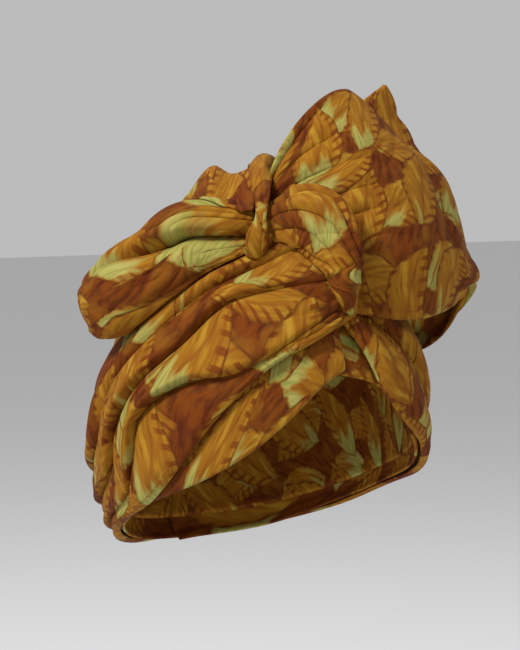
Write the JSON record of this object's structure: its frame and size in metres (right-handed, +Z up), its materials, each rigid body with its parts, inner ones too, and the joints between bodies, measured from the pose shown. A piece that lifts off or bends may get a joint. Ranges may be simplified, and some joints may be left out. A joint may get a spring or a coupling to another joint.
{
  "type": "wrapped head turban",
  "caption": "Wound and knotted cloth turban with a drooping loop on one side and a tall standing fan on the other, open below for the head.",
  "frame": {"origin": "middle of the hollow for the head, level with the middle of the brow edge's run round the head", "axes": "+Z up, the wearer's face towards -Y, the wearer's left towards +X"},
  "size_m": [0.2035, 0.2049, 0.256],
  "materials": {
    "printed_cotton": "matte"
  },
  "bodies": {
    "root": {"crown": "printed_cotton", "under_wrap_left": "printed_cotton", "under_wrap_right": "printed_cotton", "over_wrap_left": "printed_cotton", "over_wrap_right": "printed_cotton", "right_loop": "printed_cotton", "right_peak": "printed_cotton", "left_fan": "printed_cotton", "knot_twist": "printed_cotton", "knot_strap": "printed_cotton"}
  },
  "joints": []
}
